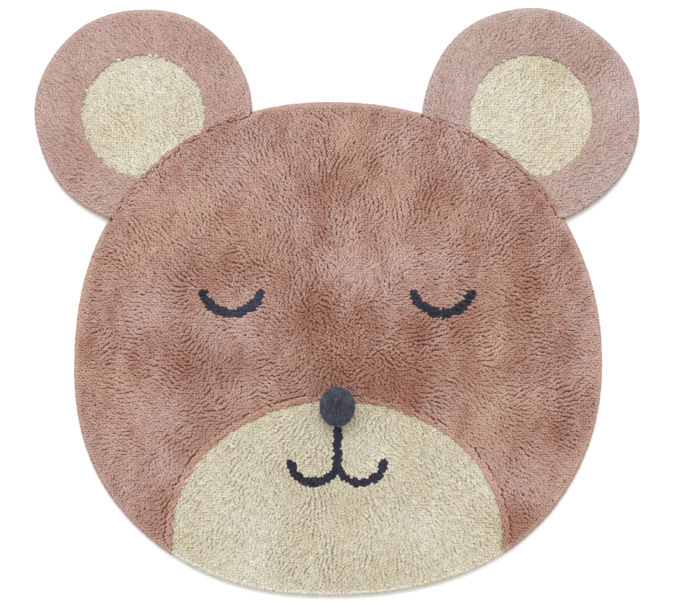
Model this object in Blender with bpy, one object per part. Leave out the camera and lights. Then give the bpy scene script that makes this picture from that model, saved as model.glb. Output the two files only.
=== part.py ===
"""A cut-pile cotton rug for a child's room, shaped as a sleepy bear's head.

The rug is one tufted piece: two round ears behind a broad head, a paler
inside to each ear and a paler muzzle that runs out at the chin. The pile of
each colour stands as a low rounded field with a parting between it and the
next. A wool pompom is sewn on for a nose.

Metres. X runs across the rug, Y from the chin to the ears, Z up from the
floor. The origin is on the floor, under the middle of the rug.
"""

import math
import random

import bmesh
import bpy
from mathutils import Matrix, Vector
from mathutils.geometry import delaunay_2d_cdt

# Head: a rounded box shape, broader at the cheeks than at the forehead.
HEAD_HALF_WIDTH = 0.480
HEAD_HALF_LENGTH = 0.450
HEAD_MIDDLE_Y = -0.085
HEAD_SQUARENESS = 2.20
CHEEK_FULLNESS = 0.050

# Ears: two discs that the head lies over, each with a paler disc inside it.
EAR_RADIUS = 0.198
INNER_EAR_RADIUS = 0.112
EAR_X = 0.352
EAR_Y = 0.337

# Muzzle: the upper part of an ellipse, cut off by the rug's edge at the chin.
MUZZLE_HALF_WIDTH = 0.300
MUZZLE_HALF_LENGTH = 0.245
MUZZLE_MIDDLE_Y = -0.425

# How far the hand-cut edge strays, how long each step along it is, and the least
# step beside a corner where fields meet, which the rounding there needs.
HAND_CUT = 0.0016
OUTLINE_STEP = 0.021
CORNER_STEP = 0.016

# Heights over the floor: the parting's floor, and the top of each pile.
PARTING_HEIGHT = 0.0105
PILE_HEIGHT = {"head": 0.0160, "ear": 0.0150, "inner_ear": 0.0138, "muzzle": 0.0138}

# The pile rounds over beside an edge or a parting: in by so much, up to this share.
ROUND_OVER = ((0.0016, 0.55), (0.0022, 0.88), (0.0032, 1.00))
EDGE_TUCK = 0.0030

# Nose: a ball of short wool locks that rests on the pile with a flat spot.
NOSE_Y = -0.188
NOSE_CORE = (0.0265, 0.0305, 0.0245)
NOSE_LOCK_LENGTH = 0.0062
NOSE_LOCK_SPREAD = 0.0010
NOSE_LOCK_INSET = 0.0010
NOSE_TIP_REACH = 0.0035
NOSE_FLAT_SPOT = 0.0065
CLEARANCE = 0.0003

# Yarn colours, linear.
ROSE_BROWN = (0.418, 0.231, 0.181)
MAUVE_GREY = (0.516, 0.352, 0.309)
CREAM = (0.597, 0.533, 0.392)
CHARCOAL = (0.060, 0.061, 0.082)

# The fields of pile and their colours.
FIELDS = ("head", "ear", "inner_ear", "muzzle")
FIELD_COLOURS = {
    "head": ROSE_BROWN,
    "ear": MAUVE_GREY,
    "inner_ear": CREAM,
    "muzzle": CREAM,
}


def clear_scene():
    for thing in list(bpy.data.objects):
        bpy.data.objects.remove(thing, do_unlink=True)


def yarn(name, colour, roughness):
    """A matt dyed yarn."""
    material = bpy.data.materials.new(name)
    material.use_nodes = True
    shader = material.node_tree.nodes["Principled BSDF"]
    shader.inputs["Base Color"].default_value = (*colour, 1.0)
    shader.inputs["Roughness"].default_value = roughness
    shader.inputs["Metallic"].default_value = 0.0
    material.diffuse_color = (*colour, 1.0)
    return material


def signed_power(value, power):
    return math.copysign(abs(value) ** power, value)


def hand_cut(angle):
    """How far the scissors strayed outwards at this angle round a shape."""
    return HAND_CUT * (math.sin(3 * angle + 0.8) + 0.6 * math.sin(7 * angle + 2.1))


def head_outline():
    """Points round the head, from the right side over the forehead."""
    points = []
    count = round(2 * math.pi * HEAD_HALF_WIDTH / OUTLINE_STEP)
    for step in range(count):
        angle = 2 * math.pi * step / count
        across = signed_power(math.cos(angle), 2 / HEAD_SQUARENESS)
        along = signed_power(math.sin(angle), 2 / HEAD_SQUARENESS)
        stray = hand_cut(angle)
        half_width = HEAD_HALF_WIDTH * (1 - CHEEK_FULLNESS * math.sin(angle)) + stray
        half_length = HEAD_HALF_LENGTH + stray
        points.append(Vector((half_width * across, HEAD_MIDDLE_Y + half_length * along)))
    return points


def oval_outline(x, y, half_width, half_length, stray):
    """Points round an ellipse; stray is how much of the hand-cut waver it has."""
    points = []
    count = round(2 * math.pi * max(half_width, half_length) / OUTLINE_STEP)
    for step in range(count):
        angle = 2 * math.pi * (step + 0.5) / count
        waver = stray * hand_cut(angle + x)
        across = (half_width + waver) * math.cos(angle)
        along = (half_length + waver) * math.sin(angle)
        points.append(Vector((x + across, y + along)))
    return points


def outlines():
    """The shapes that lie over each other, the topmost first, with their field."""
    muzzle = oval_outline(0, MUZZLE_MIDDLE_Y, MUZZLE_HALF_WIDTH, MUZZLE_HALF_LENGTH, 0.5)
    shapes = [("muzzle", muzzle), ("head", head_outline())]
    for side in (-1, 1):
        x = side * EAR_X
        inner = oval_outline(x, EAR_Y, INNER_EAR_RADIUS, INNER_EAR_RADIUS, 0.5)
        outer = oval_outline(x, EAR_Y, EAR_RADIUS, EAR_RADIUS, 1.0)
        shapes.append(("inner_ear", inner))
        shapes.append(("ear", outer))
    return shapes


def field_of(shapes, covering):
    """The field that shows where these shapes lie over each other, or None."""
    names = [shapes[index][0] for index in covering]
    if "head" in names:
        return "muzzle" if "muzzle" in names else "head"
    if "inner_ear" in names:
        return "inner_ear"
    return "ear" if "ear" in names else None


def flat_fields(bm):
    """One flat face for each field of pile, each edge shared with its neighbour."""
    shapes = outlines()
    points = []
    loops = []
    for _, outline in shapes:
        loops.append(list(range(len(points), len(points) + len(outline))))
        points.extend(outline)
    places, _, triangles, _, _, covered_by = delaunay_2d_cdt(
        points, [], loops, 1, 1e-6, True
    )
    field_layer = bm.faces.layers.int.new("field")
    verts = [bm.verts.new((place.x, place.y, 0.0)) for place in places]
    for triangle, covering in zip(triangles, covered_by):
        field = field_of(shapes, covering)
        if field is not None:
            face = bm.faces.new([verts[index] for index in triangle])
            face[field_layer] = FIELDS.index(field)
    bmesh.ops.recalc_face_normals(bm, faces=bm.faces)
    within_a_field = [
        edge
        for edge in bm.edges
        if len(edge.link_faces) == 2
        and edge.link_faces[0][field_layer] == edge.link_faces[1][field_layer]
    ]
    bmesh.ops.dissolve_edges(bm, edges=within_a_field, use_verts=False)
    beside_corners = {
        edge.other_vert(corner)
        for corner in bm.verts
        if len(corner.link_edges) > 2
        for edge in corner.link_edges
        if edge.calc_length() < CORNER_STEP and len(edge.other_vert(corner).link_edges) == 2
    }
    loose = {vert for vert in bm.verts if not vert.link_faces}
    bmesh.ops.dissolve_verts(bm, verts=list(beside_corners - loose))
    bmesh.ops.delete(bm, geom=list(loose), context="VERTS")
    return field_layer


def tufted_rug():
    """The rug in one piece: flat under, edge tucked in, a rounded field per colour."""
    bm = bmesh.new()
    field_layer = flat_fields(bm)
    underside = list(bm.faces)
    raised = bmesh.ops.extrude_face_region(bm, geom=underside)["geom"]
    top_verts = [item for item in raised if isinstance(item, bmesh.types.BMVert)]
    bmesh.ops.translate(bm, verts=top_verts, vec=(0, 0, PARTING_HEIGHT))
    fields = [item for item in raised if isinstance(item, bmesh.types.BMFace)]

    # The underside becomes one face, and its edge is tucked in under the pile.
    underside = [f for f in bm.faces if all(v.co.z == 0 for v in f.verts)]
    bmesh.ops.dissolve_faces(bm, faces=underside, use_verts=True)
    bmesh.ops.recalc_face_normals(bm, faces=bm.faces)
    floor_edge = [e for e in bm.edges if all(v.co.z == 0 for v in e.verts)]
    bmesh.ops.bevel(
        bm,
        geom=floor_edge,
        offset=EDGE_TUCK,
        offset_type="OFFSET",
        segments=2,
        profile=0.5,
        affect="EDGES",
        material=-1,
    )

    for field in fields:
        name = FIELDS[field[field_layer]]
        rise = PILE_HEIGHT[name] - PARTING_HEIGHT
        reached = 0.0
        for inset, share in ROUND_OVER:
            bmesh.ops.inset_individual(
                bm,
                faces=[field],
                thickness=inset,
                depth=rise * (share - reached),
                use_even_offset=True,
            )
            reached = share

    for face in bm.faces:
        face.material_index = face[field_layer]
    bmesh.ops.triangulate(bm, faces=bm.faces)
    mesh = bpy.data.meshes.new("rug")
    bm.to_mesh(mesh)
    bm.free()
    for name in FIELDS:
        mesh.materials.append(yarn("cotton_" + name, FIELD_COLOURS[name], 0.95))
    mesh.shade_smooth()
    mesh.set_sharp_from_angle(angle=math.radians(35))
    rug = bpy.data.objects.new("rug", mesh)
    bpy.context.collection.objects.link(rug)
    return rug


def pompom_nose():
    """A clipped wool pompom: short three-sided locks on a ball with a flat spot."""
    bm = bmesh.new()
    bmesh.ops.create_icosphere(bm, subdivisions=3, radius=1.0)
    bmesh.ops.scale(bm, vec=NOSE_CORE, verts=bm.verts)
    floor = NOSE_FLAT_SPOT - NOSE_CORE[2]
    bmesh.ops.bisect_plane(
        bm,
        geom=bm.verts[:] + bm.edges[:] + bm.faces[:],
        plane_co=(0, 0, floor),
        plane_no=(0, 0, -1),
        clear_outer=True,
    )
    bmesh.ops.holes_fill(bm, edges=[e for e in bm.edges if e.is_boundary], sides=0)
    bmesh.ops.recalc_face_normals(bm, faces=bm.faces)

    lengths = random.Random(11)
    for face in list(bm.faces):
        length = NOSE_LOCK_LENGTH + lengths.uniform(-1, 1) * NOSE_LOCK_SPREAD
        tip = face.calc_center_median() + face.normal * length
        clear_of_floor = tip.z - NOSE_TIP_REACH > floor
        if len(face.verts) == 3 and clear_of_floor:
            bmesh.ops.inset_individual(
                bm,
                faces=[face],
                thickness=NOSE_LOCK_INSET,
                depth=length,
                use_even_offset=True,
            )
    bmesh.ops.transform(
        bm,
        matrix=Matrix.Translation((0, NOSE_Y, PILE_HEIGHT["head"] + CLEARANCE - floor)),
        verts=bm.verts,
    )
    bmesh.ops.triangulate(bm, faces=bm.faces)
    mesh = bpy.data.meshes.new("nose_pompom")
    bm.to_mesh(mesh)
    bm.free()
    mesh.materials.append(yarn("wool_nose", CHARCOAL, 0.9))
    nose = bpy.data.objects.new("nose_pompom", mesh)
    bpy.context.collection.objects.link(nose)
    return nose


clear_scene()
tufted_rug()
pompom_nose()
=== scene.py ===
import math

import bmesh
import bpy
import numpy as np
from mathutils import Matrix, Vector
from mathutils.bvhtree import BVHTree


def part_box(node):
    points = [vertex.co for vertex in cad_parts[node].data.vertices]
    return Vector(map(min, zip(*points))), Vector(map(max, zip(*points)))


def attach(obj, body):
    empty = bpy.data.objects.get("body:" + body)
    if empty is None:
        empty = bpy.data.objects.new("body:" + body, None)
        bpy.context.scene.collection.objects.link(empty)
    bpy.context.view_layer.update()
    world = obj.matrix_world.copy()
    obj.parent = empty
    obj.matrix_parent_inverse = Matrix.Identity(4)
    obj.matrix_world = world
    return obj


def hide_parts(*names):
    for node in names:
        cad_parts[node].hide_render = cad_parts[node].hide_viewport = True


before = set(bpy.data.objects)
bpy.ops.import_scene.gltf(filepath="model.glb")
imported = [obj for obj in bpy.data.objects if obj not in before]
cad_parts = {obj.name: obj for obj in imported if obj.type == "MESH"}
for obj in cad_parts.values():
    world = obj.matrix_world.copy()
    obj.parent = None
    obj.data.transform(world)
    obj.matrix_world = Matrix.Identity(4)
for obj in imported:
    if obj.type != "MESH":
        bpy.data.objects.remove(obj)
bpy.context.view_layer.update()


# ---------------------------------------------------------------------------
# The drawing. Before any yarn goes in, the maker draws the bear's head on the
# canvas: the rug's edge, and the line where one colour of pile meets the next.
# The lines waver a little, as a hand-drawn and hand-cut line does.

HEAD_HALF_WIDTH = 0.480
HEAD_HALF_LENGTH = 0.450
HEAD_MIDDLE = (0.0, -0.085)
HEAD_SQUARENESS = 2.20
CHEEK_FULLNESS = 0.050
EAR_MIDDLE = (0.352, 0.337)
EAR_RADIUS = 0.198
INNER_EAR_RADIUS = 0.112
MUZZLE_MIDDLE = (0.0, -0.425)
MUZZLE_HALF_WIDTH = 0.300
MUZZLE_HALF_LENGTH = 0.245
LINE_STEP = 0.007
HAND_CUT = 0.0016
HAND_CUT_WAVES = ((1.0, 3, 0.8), (0.6, 7, 2.1))
EDGE_WAVER = 1.0
COLOUR_LINE_WAVER = 0.5
JUST_PAST_LINE = 0.004


def hand_cut(angle):
    """How far the line strays outwards at this angle round a shape."""
    waves = (size * np.sin(count * angle + start) for size, count, start in HAND_CUT_WAVES)
    return HAND_CUT * sum(waves)


def round_angles(longest_radius):
    return np.arange(0, 2 * math.pi, LINE_STEP / longest_radius)


def head_line():
    angle = round_angles(HEAD_HALF_WIDTH)
    power = 2 / HEAD_SQUARENESS
    across = np.sign(np.cos(angle)) * np.abs(np.cos(angle)) ** power
    along = np.sign(np.sin(angle)) * np.abs(np.sin(angle)) ** power
    half_width = HEAD_HALF_WIDTH * (1 - CHEEK_FULLNESS * np.sin(angle)) + hand_cut(angle)
    half_length = HEAD_HALF_LENGTH + hand_cut(angle)
    return np.stack([half_width * across, half_length * along], 1) + HEAD_MIDDLE


def oval_line(middle, half_width, half_length, share):
    angle = round_angles(max(half_width, half_length))
    waver = share * hand_cut(angle + middle[0])
    across = (half_width + waver) * np.cos(angle)
    along = (half_length + waver) * np.sin(angle)
    return np.stack([across, along], 1) + middle


def ear_line(side, radius, share):
    return oval_line((side * EAR_MIDDLE[0], EAR_MIDDLE[1]), radius, radius, share)


LINES = {
    "head": head_line(),
    "muzzle": oval_line(
        MUZZLE_MIDDLE, MUZZLE_HALF_WIDTH, MUZZLE_HALF_LENGTH, COLOUR_LINE_WAVER
    ),
    "left_ear": ear_line(-1, EAR_RADIUS, EDGE_WAVER),
    "right_ear": ear_line(1, EAR_RADIUS, EDGE_WAVER),
    "left_inner": ear_line(-1, INNER_EAR_RADIUS, COLOUR_LINE_WAVER),
    "right_inner": ear_line(1, INNER_EAR_RADIUS, COLOUR_LINE_WAVER),
}


def beside(points, line):
    """How far each point is inside a closed line, or outside if below 0, and the way out."""
    nearest = np.full(len(points), np.inf)
    foot = np.zeros((len(points), 2))
    inside = np.zeros(len(points), bool)
    for start, end in zip(line, np.roll(line, -1, axis=0)):
        run = end - start
        share = np.clip((points - start) @ run / (run @ run), 0, 1)
        at = start + share[:, None] * run
        gap = np.hypot(points[:, 0] - at[:, 0], points[:, 1] - at[:, 1])
        closer = gap < nearest
        nearest[closer] = gap[closer]
        foot[closer] = at[closer]
        spans = (start[1] > points[:, 1]) != (end[1] > points[:, 1])
        rise = run[1] if run[1] else 1e-12
        crossing = start[0] + (points[:, 1] - start[1]) * run[0] / rise
        inside ^= spans & (points[:, 0] < crossing)
    way = (foot - points) / np.maximum(nearest, 1e-9)[:, None]
    way[~inside] *= -1
    return np.where(inside, nearest, -nearest), way


def look_up(points):
    """Reads the drawing at each point: its field of pile, its distance inside the rug's
    edge and the way out there, and its distance from the next field and the way to it."""
    depth, way = {}, {}
    for name, line in LINES.items():
        depth[name], way[name] = beside(points, line)
    ears = np.maximum(depth["left_ear"], depth["right_ear"])
    inner = np.maximum(depth["left_inner"], depth["right_inner"])
    in_head = depth["head"] > 0
    field = np.where(
        in_head,
        np.where(depth["muzzle"] > 0, "muzzle", "head"),
        np.where(ears > 0, np.where(inner > 0, "inner_ear", "ear"), "none"),
    )
    shapes = np.stack([depth["head"], depth["left_ear"], depth["right_ear"]])
    ways_out = np.stack([way["head"], way["left_ear"], way["right_ear"]])
    furthest_in = shapes.argmax(0)
    edge = shapes.max(0)
    way_out = ways_out[furthest_in, np.arange(len(points))]

    far = np.full(len(points), 1.0)
    meets_muzzle = np.where(in_head, np.abs(depth["muzzle"]), far)
    beyond_head = points + way["head"] * (depth["head"] + JUST_PAST_LINE)[:, None]
    ear_beyond = np.maximum(
        *(
            EAR_RADIUS - np.hypot(*(beyond_head - (side * EAR_MIDDLE[0], EAR_MIDDLE[1])).T)
            for side in (1, -1)
        )
    )
    meets_ear = np.where(in_head & (ear_beyond > 0), depth["head"], far)
    meets_head = np.where(~in_head & (ears > 0), -depth["head"], far)
    meets_inner = np.where(~in_head & (ears > 0), np.abs(inner), far)
    inner_way = np.where(
        (depth["left_inner"] > depth["right_inner"])[:, None],
        way["left_inner"],
        way["right_inner"],
    )
    towards = np.stack(
        [
            np.where((depth["muzzle"] > 0)[:, None], way["muzzle"], -way["muzzle"]),
            way["head"],
            -way["head"],
            np.where((inner > 0)[:, None], inner_way, -inner_way),
        ]
    )
    seams = np.stack([meets_muzzle, meets_ear, meets_head, meets_inner])
    which = seams.argmin(0)
    return {
        "field": field,
        "edge": edge,
        "way_out": way_out,
        "seam": seams.min(0),
        "way_to_seam": towards[which, np.arange(len(points))],
    }


# ---------------------------------------------------------------------------
# Canvas and roots. A plain cotton canvas carries the whole rug. The yarn is
# punched through it so closely that the roots make a solid ground, painted darker
# than the tips as painted shade deep in the pile. The canvas edge is turned in
# under the pile, and the back is bare.

CANVAS_THICKNESS = 0.0030
CANVAS_SETBACK = 0.0058
UNDERSIDE_SETBACK = 0.0066
ROOTS_SETBACK = 0.0075
ROOTS_SHARE = {"head": 0.63, "ear": 0.78, "inner_ear": 0.73, "muzzle": 0.73, "none": 0.63}
EDGE_BAND = 0.0078
CREASE_ANGLE = math.radians(40)

CLOTH_SPECULAR = 0.15
CLOTH_SHEEN_ROUGHNESS = 0.6
CANVAS_COLOUR = (0.62, 0.57, 0.47, 1.0)
# The colour painted into the dips between the threads, as painted shade.
CANVAS_DIP_SHADE_COLOUR = (0.40, 0.36, 0.28, 1.0)
CANVAS_ROUGHNESS = 0.95
CANVAS_SHEEN = 0.2
CANVAS_THREAD = 900.0
CANVAS_WAVER = 0.6
CANVAS_RELIEF = 0.0006
CANVAS_RELIEF_SHARE = 0.8
ROOTS_MOTTLE_SCALE = 260.0
ROOTS_SHADE = 0.70
ROOTS_RELIEF = 0.002


def new_object(name, data):
    made = bpy.data.objects.new(name, data)
    bpy.context.collection.objects.link(made)
    return made


def new_material(name, roughness, sheen, sheen_tint):
    """A matt cloth, its Principled BSDF, and the calls that add a node and a link."""
    material = bpy.data.materials.new(name)
    material.use_nodes = True
    shader = material.node_tree.nodes["Principled BSDF"]
    shader.inputs["Roughness"].default_value = roughness
    shader.inputs["Specular IOR Level"].default_value = CLOTH_SPECULAR
    shader.inputs["Sheen Weight"].default_value = sheen
    shader.inputs["Sheen Roughness"].default_value = CLOTH_SHEEN_ROUGHNESS
    shader.inputs["Sheen Tint"].default_value = sheen_tint
    return material, shader, material.node_tree.nodes.new, material.node_tree.links.new


def canvas_material():
    """Plain weave: two sets of threads, each going over and under the other, with painted shade
    darkening the dips between them.
    """
    material, shader, add, link = new_material(
        "cotton_canvas", CANVAS_ROUGHNESS, CANVAS_SHEEN, CANVAS_COLOUR
    )
    place = add("ShaderNodeTexCoord")
    crosswise = add("ShaderNodeMapping")
    crosswise.inputs["Rotation"].default_value = (0, 0, math.radians(90))
    link(place.outputs["Object"], crosswise.inputs["Vector"])
    height = add("ShaderNodeMath")
    height.operation = "MAXIMUM"
    for index, way in enumerate((place.outputs["Object"], crosswise.outputs["Vector"])):
        threads = add("ShaderNodeTexWave")
        threads.wave_type = "BANDS"
        threads.bands_direction = "X"
        threads.inputs["Scale"].default_value = CANVAS_THREAD / (2 * math.pi)
        threads.inputs["Distortion"].default_value = CANVAS_WAVER
        threads.inputs["Detail"].default_value = 1.0
        link(way, threads.inputs["Vector"])
        link(threads.outputs["Fac"], height.inputs[index])
    colour = add("ShaderNodeMix")
    colour.data_type = "RGBA"
    colour.inputs["A"].default_value = CANVAS_DIP_SHADE_COLOUR
    colour.inputs["B"].default_value = CANVAS_COLOUR
    bump = add("ShaderNodeBump")
    bump.inputs["Distance"].default_value = CANVAS_RELIEF
    bump.inputs["Strength"].default_value = CANVAS_RELIEF_SHARE
    # Painted shade: the colour darkens where the weave's relief dips between threads.
    link(height.outputs["Value"], colour.inputs["Factor"])
    link(height.outputs["Value"], bump.inputs["Height"])
    link(colour.outputs["Result"], shader.inputs["Base Color"])
    link(bump.outputs["Normal"], shader.inputs["Normal"])
    return material


def roots_material(name, colour):
    """The close-packed roots, deep between the tufts: dull, mottled and rough, coloured darker
    than the yarn as painted shade, and darkest in the dips of the mottle.
    """
    material, shader, add, link = new_material(name, 1.0, 0.0, colour)
    place = add("ShaderNodeTexCoord")
    mottle = add("ShaderNodeTexNoise")
    mottle.inputs["Scale"].default_value = ROOTS_MOTTLE_SCALE
    mottle.inputs["Detail"].default_value = 3.0
    shade = add("ShaderNodeMix")
    shade.data_type = "RGBA"
    shade.inputs["A"].default_value = [ROOTS_SHADE * part for part in colour[:3]] + [1.0]
    shade.inputs["B"].default_value = colour
    bump = add("ShaderNodeBump")
    bump.inputs["Distance"].default_value = ROOTS_RELIEF
    link(place.outputs["Object"], mottle.inputs["Vector"])
    link(mottle.outputs["Fac"], shade.inputs["Factor"])
    link(mottle.outputs["Fac"], bump.inputs["Height"])
    link(shade.outputs["Result"], shader.inputs["Base Color"])
    link(bump.outputs["Normal"], shader.inputs["Normal"])
    return material


# Painted shade: the roots are coloured darker than the yarn's tips, for the shade deep between
# the tufts.
SHADED_ROOTS_COLOURS = {
    "head": (0.320, 0.130, 0.084, 1.0),
    "ear": (0.465, 0.315, 0.272, 1.0),
    "muzzle": (0.590, 0.525, 0.392, 1.0),
}


def canvas_and_roots():
    """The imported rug, its pile cut back to the roots and drawn in from the edge."""
    bm = bmesh.new()
    bm.from_mesh(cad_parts["rug"].data)
    bmesh.ops.remove_doubles(bm, verts=bm.verts, dist=1e-5)
    places = np.array([vert.co for vert in bm.verts])
    drawing = look_up(places[:, :2])
    for vert, field, edge, way in zip(
        bm.verts, drawing["field"], drawing["edge"], drawing["way_out"]
    ):
        height = vert.co.z
        if height > CANVAS_THICKNESS:
            share = ROOTS_SHARE[field] if edge > EDGE_BAND else ROOTS_SHARE["none"]
            vert.co.z = CANVAS_THICKNESS + (height - CANVAS_THICKNESS) * share
        if edge < EDGE_BAND:
            if height > CANVAS_THICKNESS + 1e-4:
                shift = ROOTS_SETBACK
            else:
                shift = (CANVAS_SETBACK if height > 0 else UNDERSIDE_SETBACK) - edge
            vert.co.x -= way[0] * shift
            vert.co.y -= way[1] * shift
    materials = [canvas_material()]
    slots = {}
    for name, colour in SHADED_ROOTS_COLOURS.items():
        slots[name] = len(materials)
        materials.append(roots_material("cotton_roots_" + name, colour))
    slots["inner_ear"] = slots["muzzle"]
    slots["none"] = slots["head"]
    centres = np.array([face.calc_center_median() for face in bm.faces])
    fields = look_up(centres[:, :2])["field"]
    for face, centre, field in zip(bm.faces, centres, fields):
        on_canvas = centre[2] < CANVAS_THICKNESS
        face.material_index = 0 if on_canvas else slots[field]
        face.smooth = True
    mesh = bpy.data.meshes.new("canvas_and_roots")
    bm.to_mesh(mesh)
    bm.free()
    mesh.set_sharp_from_angle(angle=CREASE_ANGLE)
    for material in materials:
        mesh.materials.append(material)
    piece = new_object("canvas_and_roots", mesh)
    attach(piece, "root")
    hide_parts("rug")
    return piece


ground = canvas_and_roots()


# ---------------------------------------------------------------------------
# Pile. Every tuft is a lock of soft cut cotton yarn, 6 to 9 mm wide. The tufts lean
# over and crowd into wandering rows. They are combed outwards from the middle of the
# head, square to the rug's edge, and along the seams where two colours meet.

chance = np.random.default_rng(seed=20)

TUFT_SIDES = 5
TUFT_RINGS = 3
TUFT_FULLNESS = 0.50
TUFT_TAPER = 0.10
TUFT_ACROSS = 0.0046
TUFT_ALONG = 0.0072
TUFT_REACH = 0.0130
TUFT_RISE = 0.0080
TUFT_ARCH = 0.0020
ROOT_BEHIND = 0.60
BEND_BEHIND = 0.15
TIP_AHEAD = 0.40
TIP_DROP = 0.0012
TIP_TUCK = 0.0010
TUFT_PITCH = 0.0053
TUFT_JITTER = 0.24
FIELD_SETBACK = 0.0062
SPREAD_ROUNDS = 12
SPREAD_STEP = 0.25
MOST_NEIGHBOURS = 12
CLOSEST = 0.05
FLOOR_CLEARANCE = 0.0001
# How much paler each tuft's upper side is painted, and darker its underside: painted light and
# shade.
TUFT_TOP_LIGHT = 0.45
MAP_MARGIN = 0.08
FIBRE_LENGTH = 0.35
FIBRE_SHIFT = (31.0, 47.0, 59.0)

COMBED_FROM = (0.0, -0.065)
COMB_WANDER = 0.085
COMB_FINE_STRAY = 0.28
COMBED_BY_EDGE = 1.6
COMBED_BY_SEAM = 1.7
TOUSLED_REACH = 0.080
TUFT_TURN = 0.20
TOUSLED_TURN = 0.60

ROW_SPOTS = 14000
ROW_PITCH = 0.0077
ROW_UNEVEN = (0.78, 1.25)
ROW_REACH = 0.0088
ROW_LENGTH = 0.0100
ROW_FADE = 2.2
ROW_PULL = 0.56
ROW_STRAY = 0.46
ROW_STRAY_DRIFT = 0.16
ROW_ORDER = 0.25
ROW_TOUSLED_STRAY = 0.5
GRID_STEP = 0.0015
PULL_UNEVEN = (0.45, 0.55)
PULL_BY_SEAM = (0.40, 0.60)
PULL_STANDING = (0.75, 0.60)
CREST_HEIGHT = 0.0006
CLUMP_HEIGHT = 0.0005

SEAM_ROWS = {"muzzle": 0.0130, "ear": 0.0085}
SPARSE_BY_EAR = 0.45
SEAM_SLOPE = 0.0060
SEAM_FILL = 0.75
PARTING_PUSH = 0.0022
PARTING_REACH = 0.0040
PARTING_OPEN = (-0.9, 0.6)
RIM_ROOM = 0.0038

STANDING_DRIFT = 0.52
STANDING_SHORTER = 0.22
LYING_REACH = 1.08
# How much each of these lightens or darkens the nap, as painted light and shade.
STANDING_MEAN = 0.42
STANDING_SHADE = 2.7
BLOTCH_SHADE = 0.60
FINE_BLOTCH_SHADE = 0.40
FINE_BLOTCH_STRETCH = (1.0, 0.40)
CREST_SHADE = 0.6
CLUMP_SHADE = 0.3
RIM_SHADE = 1.2

# The edge and the seams lose their hold on the pile between these two distances.
EDGE_COMBED = (0.006, 0.034)
EDGE_ROWLESS = (0.008, 0.036)
# Within this band from the rim, the nap is painted paler: painted light on fibres seen side-on.
EDGE_LIT = (0.002, 0.026)
SEAM_COMBED = (0.006, 0.020)
SEAM_ROWLESS = (0.004, 0.016)

# Where the rows stray less, and where and how much the pile stands up: the middle of
# each place, and its reach across and along.
ORDERLY_PLACES = (((0.0, 0.21), 0.13, 0.12), ((0.0, -0.41), 0.11, 0.14))
STANDING_PLACES = (
    (0.68, (0.0, -0.12), 0.17, 0.13),
    (0.48, (0.0, -0.40), 0.13, 0.12),
    (0.26, (0.36, -0.01), 0.12, 0.15),
)

# The distance over which each uneven habit of the pile changes, and its seed.
DRIFTS = {
    "comb_across": (0.055, 31),
    "comb_along": (0.055, 32),
    "comb": (0.110, 3),
    "fine_comb": (0.035, 4),
    "row_heading": (0.070, 23),
    "row_pull": (0.045, 5),
    "fine_row_pull": (0.020, 6),
    "parting": (0.020, 14),
    "standing": (0.130, 21),
    "blotch": (0.060, 9),
    "fine_blotch": (0.018, 10),
    "clump": (0.010, 22),
}
DRIFT_WAVES = 24

PILE_HABITS = ("turn", "pull", "wide", "flat", "uneven", "mottle")
PILE_FIELDS = {
    field: dict(zip(PILE_HABITS, habits))
    for field, *habits in (
        ("head", 0.42, 0.99, 1.44, 0.49, 0.0004, 1.1),
        ("ear", 0.25, 0.82, 1.80, 0.28, 0.0001, 0.7),
        ("inner_ear", 0.25, 0.64, 1.82, 0.28, 0.0001, 0.5),
        ("muzzle", 0.26, 0.92, 1.80, 0.28, 0.0001, 0.5),
    )
}


def drift(points, habit):
    """A smooth random value of this habit at each point, about -1 to 1."""
    size, seed = DRIFTS[habit]
    waves = np.random.default_rng(seed)
    heading = waves.uniform(0, 2 * math.pi, DRIFT_WAVES)
    length = size * waves.uniform(1.2, 3.0, DRIFT_WAVES)
    start = waves.uniform(0, 2 * math.pi, DRIFT_WAVES)
    knots = np.stack([np.cos(heading), np.sin(heading)]) * (2 * math.pi / length)
    return np.cos(points @ knots + start).sum(1) / math.sqrt(DRIFT_WAVES)


def near(points, middle, across, along):
    """How near each point is to a place, from 1 at its middle down to 0."""
    x, y = points.T
    return np.exp(-(((x - middle[0]) / across) ** 2) - ((y - middle[1]) / along) ** 2)


def unit(vectors):
    return vectors / np.maximum(np.linalg.norm(vectors, axis=1), 1e-9)[:, None]


def turned(vectors, angle):
    cos, sin = np.cos(angle), np.sin(angle)
    x, y = vectors.T
    return np.stack([x * cos - y * sin, x * sin + y * cos], 1)


def smooth_step(value, low, high):
    share = np.clip((value - low) / (high - low), 0, 1)
    return share * share * (3 - 2 * share)


def comb(points, drawing):
    """The way that the pile leans at each point, seen from above."""
    lean = np.zeros((len(points), 2))
    for field, habit in PILE_FIELDS.items():
        here = drawing["field"] == field
        across, along = (drift(points[here], way) for way in ("comb_across", "comb_along"))
        away = points[here] - COMBED_FROM + COMB_WANDER * np.stack([across, along], 1)
        stray = drift(points[here], "comb") + COMB_FINE_STRAY * drift(points[here], "fine_comb")
        lean[here] = turned(unit(away), habit["turn"] * stray)
    by_edge = 1 - smooth_step(drawing["edge"], *EDGE_COMBED)
    by_seam = 1 - smooth_step(drawing["seam"], *SEAM_COMBED)
    lean = unit(lean + COMBED_BY_EDGE * by_edge[:, None] * drawing["way_out"])
    beside_seam = turned(drawing["way_to_seam"], math.pi / 2)
    facing = np.where((beside_seam * lean).sum(1) < 0, -1.0, 1.0)
    return unit(lean + COMBED_BY_SEAM * (by_seam * facing)[:, None] * beside_seam)


def tousled(points):
    """How much the tufts point every way, 0 to 1: most in the middle of the combing."""
    return near(points, COMBED_FROM, TOUSLED_REACH, TOUSLED_REACH)


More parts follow.
